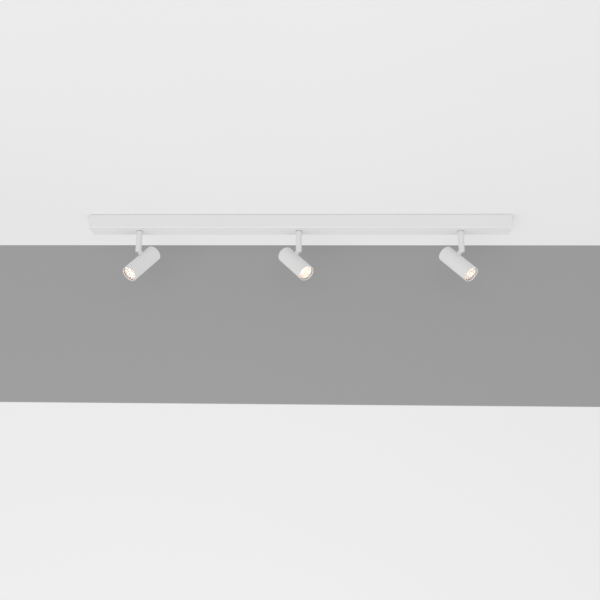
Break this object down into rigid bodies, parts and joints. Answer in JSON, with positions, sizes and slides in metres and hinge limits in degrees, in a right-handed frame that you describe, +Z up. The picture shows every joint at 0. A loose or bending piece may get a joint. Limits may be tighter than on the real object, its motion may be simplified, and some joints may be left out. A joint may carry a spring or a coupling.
{
  "type": "ceiling spotlight bar",
  "caption": "Slim white ceiling light bar: a folded canopy with cylindrical spotlight heads on short stems, each of which pans and tilts.",
  "frame": {"origin": "centre of the mounting plate's upper face, in the plane of the ceiling", "axes": "+X along the bar, +Z up into the ceiling, -Y towards the room's viewer"},
  "size_m": [1.0034, 0.0832, 0.1594],
  "materials": {
    "white_steel": "fine matt powder coat",
    "white_tube": "fine matt powder coat on drawn tube",
    "white_cast": "fine matt powder coat on cast and turned parts",
    "zinc": "zinc plated",
    "white_nylon": "moulded",
    "grey_nylon": "moulded",
    "ring_nylon": "moulded",
    "driver_plastic": "moulded, fine texture",
    "circuit": "solder-masked board",
    "rubber": "moulded",
    "brown_pvc": "insulation",
    "blue_pvc": "insulation",
    "green_yellow_pvc": "insulation",
    "white_pvc": "insulation",
    "aluminium": "turned, raw",
    "led_board": "white board with a warm phosphor disc",
    "reflector": "metallised, softly faceted",
    "clear_glass": "clear"
  },
  "bodies": {
    "canopy": {"canopy_cover": "white_steel", "mounting_plate": "zinc", "cover_screws": "white_cast", "bush_nuts": "zinc", "driver_case": "driver_plastic", "driver_lid": "driver_plastic", "driver_board": "circuit", "terminal_block": "white_nylon", "terminal_screws": "zinc", "cord_clamp": "white_nylon", "panel_screws": "zinc", "cable_grommet": "rubber", "earth_lead": "green_yellow_pvc", "live_lead": "brown_pvc", "neutral_lead": "blue_pvc", "output_lead_left": "white_pvc", "output_lead_middle": "white_pvc", "output_lead_right": "white_pvc", "swivel_bush_left": "grey_nylon", "swivel_bush_middle": "grey_nylon", "swivel_bush_right": "grey_nylon"},
    "stem_left": {"stem_left": "white_cast", "stop_washer_left": "zinc", "stem_nut_left": "zinc", "pivot_screws_left": "white_cast", "stem_lead_left": "white_pvc"},
    "head_left": {"knuckle_left": "white_cast", "head_housing_left": "white_tube", "heat_sink_left": "aluminium", "led_module_left": "led_board", "reflector_left": "reflector", "lens_left": "clear_glass", "front_ring_left": "ring_nylon", "head_lead_left": "white_pvc"},
    "stem_middle": {"stem_middle": "white_cast", "stop_washer_middle": "zinc", "stem_nut_middle": "zinc", "pivot_screws_middle": "white_cast", "stem_lead_middle": "white_pvc"},
    "head_middle": {"knuckle_middle": "white_cast", "head_housing_middle": "white_tube", "heat_sink_middle": "aluminium", "led_module_middle": "led_board", "reflector_middle": "reflector", "lens_middle": "clear_glass", "front_ring_middle": "ring_nylon", "head_lead_middle": "white_pvc"},
    "stem_right": {"stem_right": "white_cast", "stop_washer_right": "zinc", "stem_nut_right": "zinc", "pivot_screws_right": "white_cast", "stem_lead_right": "white_pvc"},
    "head_right": {"knuckle_right": "white_cast", "head_housing_right": "white_tube", "heat_sink_right": "aluminium", "led_module_right": "led_board", "reflector_right": "reflector", "lens_right": "clear_glass", "front_ring_right": "ring_nylon", "head_lead_right": "white_pvc"}
  },
  "joints": [
    {"name": "swivel_left", "type": "hinge", "parent": "canopy", "child": "stem_left", "pos_m": [-0.3824, 0, -0.034], "axis": [0, 0, 1], "range_deg": [-127.4, 212.6]},
    {"name": "tilt_left", "type": "hinge", "parent": "stem_left", "child": "head_left", "pos_m": [-0.3824, 0, -0.0802], "axis": [0.7361, -0.6769, 0], "range_deg": [-46.5, 43.5]},
    {"name": "swivel_middle", "type": "hinge", "parent": "canopy", "child": "stem_middle", "pos_m": [0, 0, -0.034], "axis": [0, 0, 1], "range_deg": [-218.7, 121.3]},
    {"name": "tilt_middle", "type": "hinge", "parent": "stem_middle", "child": "head_middle", "pos_m": [0, 0, -0.0802], "axis": [0.66, 0.7513, 0], "range_deg": [-41.2, 48.8]},
    {"name": "swivel_right", "type": "hinge", "parent": "canopy", "child": "stem_right", "pos_m": [0.3824, 0, -0.034], "axis": [0, 0, 1], "range_deg": [-220, 120]},
    {"name": "tilt_right", "type": "hinge", "parent": "stem_right", "child": "head_right", "pos_m": [0.3824, 0, -0.0802], "axis": [0.6428, 0.766, 0], "range_deg": [-44.2, 45.8]}
  ]
}
